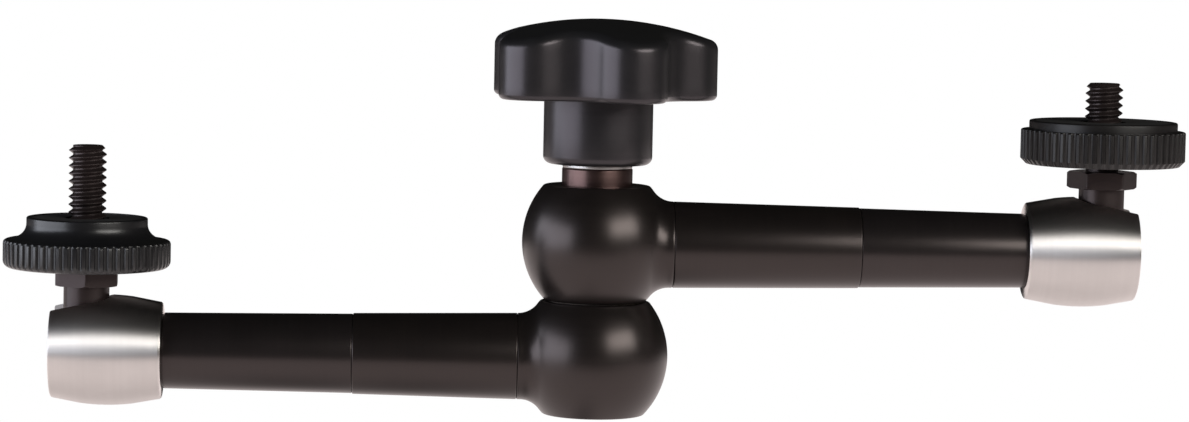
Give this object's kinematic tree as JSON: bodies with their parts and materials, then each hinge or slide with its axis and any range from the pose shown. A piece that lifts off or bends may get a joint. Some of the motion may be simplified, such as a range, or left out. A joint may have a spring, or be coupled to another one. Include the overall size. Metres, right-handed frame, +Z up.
{
  "type": "articulating friction arm",
  "caption": "Articulating friction arm for camera gear: a star knob clamps the centre elbow and the screw-tipped ball stud with lock wheel at each end.",
  "frame": {"origin": "centre of the lower hub's flat base, on the elbow's axis", "axes": "+X along the upper arm, +Z up along the elbow's axis; the lower arm runs along -X"},
  "size_m": [0.1944, 0.0377, 0.0653],
  "materials": {
    "black_satin_aluminium": "satin",
    "black_gloss_aluminium": "gloss",
    "bright_turned_aluminium": "satin",
    "black_steel": "satin",
    "black_anodised_wheel": "satin",
    "black_knob_plastic": "satin",
    "brass_insert": "satin",
    "bronzed_steel": "satin",
    "bright_washer": "polished",
    "friction_fibre": "matte",
    "pad_rubber": "matte",
    "plain_steel": "satin",
    "bearing_brass": "satin"
  },
  "bodies": {
    "lower_arm": {"lower_hub": "black_satin_aluminium", "lower_taper_tube": "black_satin_aluminium", "lower_end_tube": "black_gloss_aluminium", "lower_snap_ring": "plain_steel", "friction_washer": "friction_fibre"},
    "upper_arm": {"upper_hub": "black_satin_aluminium", "upper_taper_tube": "black_satin_aluminium", "upper_end_tube": "black_gloss_aluminium", "upper_snap_ring": "plain_steel"},
    "spindle": {"clamp_spindle": "plain_steel"},
    "cone": {"clamp_cone": "bronzed_steel", "thrust_washer": "bright_washer"},
    "knob": {"star_knob": "black_knob_plastic", "knob_insert": "brass_insert"},
    "lower_rod": {"lower_push_rod": "plain_steel", "lower_ball_cup": "bearing_brass"},
    "upper_rod": {"upper_push_rod": "plain_steel", "upper_ball_cup": "bearing_brass"},
    "lower_barrel": {"lower_socket": "bright_turned_aluminium"},
    "upper_barrel": {"upper_socket": "bright_turned_aluminium"},
    "lower_stud": {"lower_ball_stud": "black_steel"},
    "upper_stud": {"upper_ball_stud": "black_steel"},
    "lower_wheel": {"lower_lock_wheel": "black_anodised_wheel", "lower_wheel_pad": "pad_rubber"},
    "upper_wheel": {"upper_lock_wheel": "black_anodised_wheel", "upper_wheel_pad": "pad_rubber"}
  },
  "joints": [
    {"name": "elbow_turn", "type": "hinge", "parent": "lower_arm", "child": "upper_arm", "pos_m": [0, 0, 0.0188], "axis": [0, 0, 1], "range_deg": [-160, 160]},
    {"name": "cone_slide", "type": "slide", "parent": "upper_arm", "child": "cone", "axis": [0, 0, 1], "range_m": [0, 0.0005]},
    {"name": "knob_turn", "type": "hinge", "parent": "cone", "child": "knob", "pos_m": [0, 0, 0.05], "axis": [0, 0, 1], "range_deg": [0, 360]},
    {"name": "spindle_slide", "type": "slide", "parent": "lower_arm", "child": "spindle", "axis": [0, 0, -1], "range_m": [0, 0.00051]},
    {"name": "lower_rod_slide", "type": "slide", "parent": "lower_arm", "child": "lower_rod", "axis": [1, 0, 0], "range_m": [0, 0.0003]},
    {"name": "upper_rod_slide", "type": "slide", "parent": "upper_arm", "child": "upper_rod", "axis": [-1, 0, 0], "range_m": [0, 0.0003]},
    {"name": "lower_barrel_turn", "type": "hinge", "parent": "lower_arm", "child": "lower_barrel", "pos_m": [-0.0836, 0, 0.00935], "axis": [-1, 0, 0], "continuous": true},
    {"name": "lower_stud_tilt", "type": "hinge", "parent": "lower_barrel", "child": "lower_stud", "pos_m": [-0.0836, 0, 0.00935], "axis": [0, -1, 0], "range_deg": [-4, 90]},
    {"name": "lower_wheel_spin", "type": "hinge", "parent": "lower_stud", "child": "lower_wheel", "pos_m": [-0.0836, 0, 0.02735], "axis": [0, 0, 1], "continuous": true},
    {"name": "upper_barrel_turn", "type": "hinge", "parent": "upper_arm", "child": "upper_barrel", "pos_m": [0.0836, 0, 0.02825], "axis": [-1, 0, 0], "continuous": true},
    {"name": "upper_stud_tilt", "type": "hinge", "parent": "upper_barrel", "child": "upper_stud", "pos_m": [0.0836, 0, 0.02825], "axis": [0, 1, 0], "range_deg": [-4, 90]},
    {"name": "upper_wheel_spin", "type": "hinge", "parent": "upper_stud", "child": "upper_wheel", "pos_m": [0.0836, 0, 0.04625], "axis": [0, 0, 1], "continuous": true}
  ],
  "couplings": [
    {"joint": "knob_turn", "follows": "cone_slide", "rad_per_m": 12566},
    {"joint": "spindle_slide", "follows": "cone_slide", "ratio": 1},
    {"joint": "lower_rod_slide", "follows": "cone_slide", "ratio": 0.57735},
    {"joint": "upper_rod_slide", "follows": "cone_slide", "ratio": 0.57735}
  ]
}
